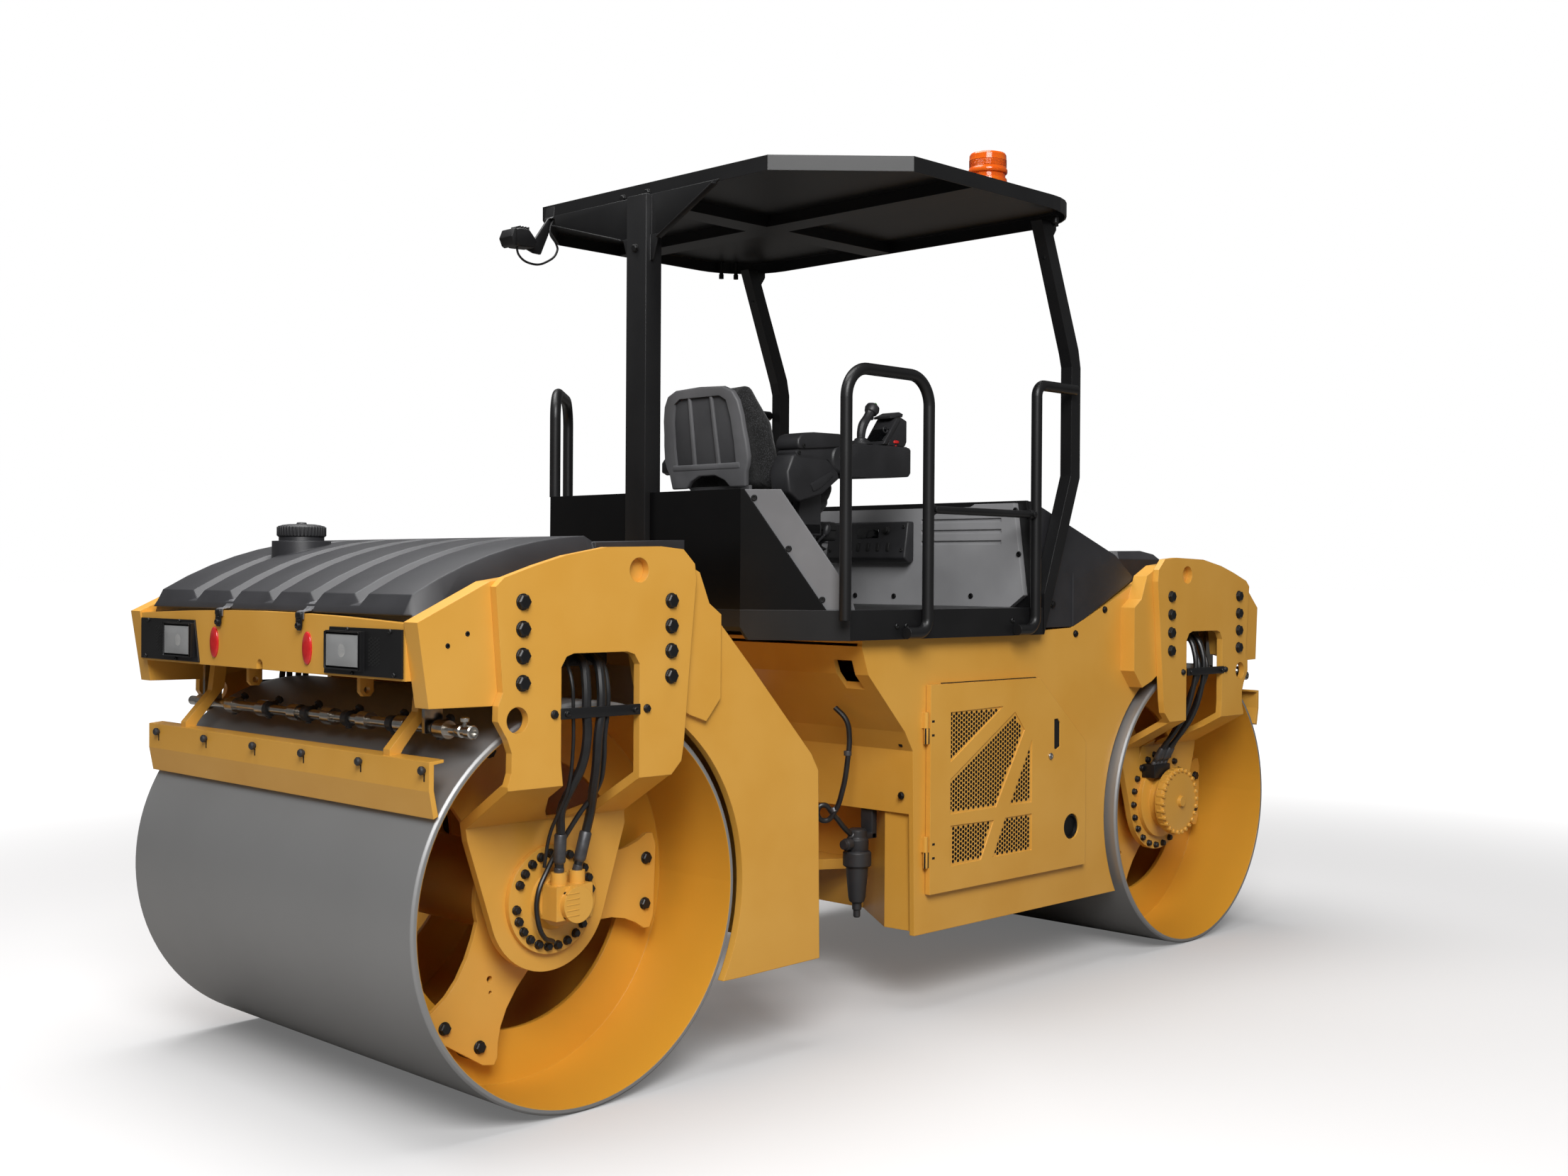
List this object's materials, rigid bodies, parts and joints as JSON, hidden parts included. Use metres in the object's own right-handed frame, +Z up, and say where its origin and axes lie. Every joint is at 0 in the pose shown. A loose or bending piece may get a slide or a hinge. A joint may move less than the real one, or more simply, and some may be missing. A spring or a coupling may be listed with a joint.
{
  "type": "tandem roller",
  "caption": "Articulated tandem roller with smooth steel drums carried on bent leg plates, an open operator's platform with canopy, and a water tank behind.",
  "frame": {"origin": "on the floor, midway between the two drum axles and on the machine's middle plane", "axes": "+X forward, the way the seat faces, +Y to the machine's left, +Z up"},
  "size_m": [4.202, 1.774, 2.8759],
  "materials": {
    "yellow_paint": "satin machine enamel",
    "drum_steel": "rolled and worn smooth",
    "black_paint": "satin black powder coat",
    "grey_plastic": "moulded, fine grain",
    "black_plastic": "moulded, fine grain",
    "tank_plastic": "rotomoulded",
    "rubber": "moulded",
    "seat_fabric": "woven seat cover",
    "amber_lens": "moulded amber lens",
    "engine_iron": "cast",
    "steel_tube": "drawn stainless tube",
    "chrome_rod": "hard chrome"
  },
  "bodies": {
    "front_half": {"front_frame": "yellow_paint", "front_right_leg": "yellow_paint", "front_left_leg": "yellow_paint", "front_hubs": "yellow_paint", "engine": "engine_iron", "front_beam": "yellow_paint", "platform": "black_paint", "rear_panel": "black_paint", "rear_liner": "grey_plastic", "front_panel": "grey_plastic", "front_frame_cover": "black_paint", "control_panel": "black_plastic", "hood": "black_paint", "front_cover": "black_plastic", "rear_post": "black_paint", "right_post": "black_paint", "left_post": "black_paint", "canopy": "black_paint", "canopy_beams": "black_paint", "beacon": "amber_lens", "work_light": "black_paint", "rear_handrails": "black_paint", "front_handrails": "black_paint", "gate_bars": "black_paint", "seat_pedestal": "black_plastic", "seat_cushion": "seat_fabric", "seat_back": "seat_fabric", "seat_shell": "grey_plastic", "console": "black_plastic", "joystick": "black_plastic", "front_lamps": "black_paint", "front_scraper": "yellow_paint", "front_spray_bar": "steel_tube", "water_filter": "black_plastic"},
    "hitch": {"hitch_yoke": "engine_iron"},
    "rear_half": {"rear_frame": "yellow_paint", "rear_right_leg": "yellow_paint", "rear_left_leg": "yellow_paint", "rear_hubs": "yellow_paint", "rear_beam": "yellow_paint", "water_tank": "tank_plastic", "tank_cap": "black_plastic", "rear_lamps": "black_paint", "rear_scraper": "yellow_paint", "rear_spray_bar": "steel_tube"},
    "front_roller": {"front_drum": "drum_steel", "front_spiders": "yellow_paint", "front_buffers": "rubber"},
    "rear_roller": {"rear_drum": "drum_steel", "rear_spiders": "yellow_paint", "rear_buffers": "rubber"},
    "right_service_door": {"right_door": "yellow_paint"},
    "left_service_door": {"left_door": "yellow_paint"},
    "cylinder_barrel": {"steering_barrel": "black_paint"},
    "cylinder_rod": {"steering_rod": "chrome_rod"}
  },
  "joints": [
    {"name": "steering_hinge", "type": "hinge", "parent": "front_half", "child": "hitch", "pos_m": [-0.39, 0, 0.575], "axis": [0, 0, 1], "range_deg": [-35, 35]},
    {"name": "frame_oscillation", "type": "hinge", "parent": "hitch", "child": "rear_half", "pos_m": [-0.39, 0, 0.575], "axis": [1, 0, 0], "range_deg": [-6, 6]},
    {"name": "front_drum_roll", "type": "hinge", "parent": "front_half", "child": "front_roller", "pos_m": [1.542, 0, 0.552], "axis": [0, 1, 0], "continuous": true},
    {"name": "rear_drum_roll", "type": "hinge", "parent": "rear_half", "child": "rear_roller", "pos_m": [-1.542, 0, 0.552], "axis": [0, 1, 0], "continuous": true},
    {"name": "right_door_hinge", "type": "hinge", "parent": "front_half", "child": "right_service_door", "pos_m": [-0.092, -0.727, 0.7], "axis": [0, 0, 1], "range_deg": [-100, 0]},
    {"name": "left_door_hinge", "type": "hinge", "parent": "front_half", "child": "left_service_door", "pos_m": [-0.092, 0.727, 0.7], "axis": [0, 0, 1], "range_deg": [0, 100]},
    {"name": "cylinder_swing", "type": "hinge", "parent": "front_half", "child": "cylinder_barrel", "pos_m": [0.11, 0.15, 0.575], "axis": [0, 0, 1], "range_deg": [-4, 4]},
    {"name": "cylinder_stroke", "type": "slide", "parent": "cylinder_barrel", "child": "cylinder_rod", "axis": [-1, 0, 0], "range_m": [-0.09, 0.09]}
  ],
  "couplings": [
    {"joint": "cylinder_swing", "follows": "steering_hinge", "ratio": 0.108},
    {"joint": "cylinder_stroke", "follows": "steering_hinge", "m_per_rad": 0.1436}
  ]
}
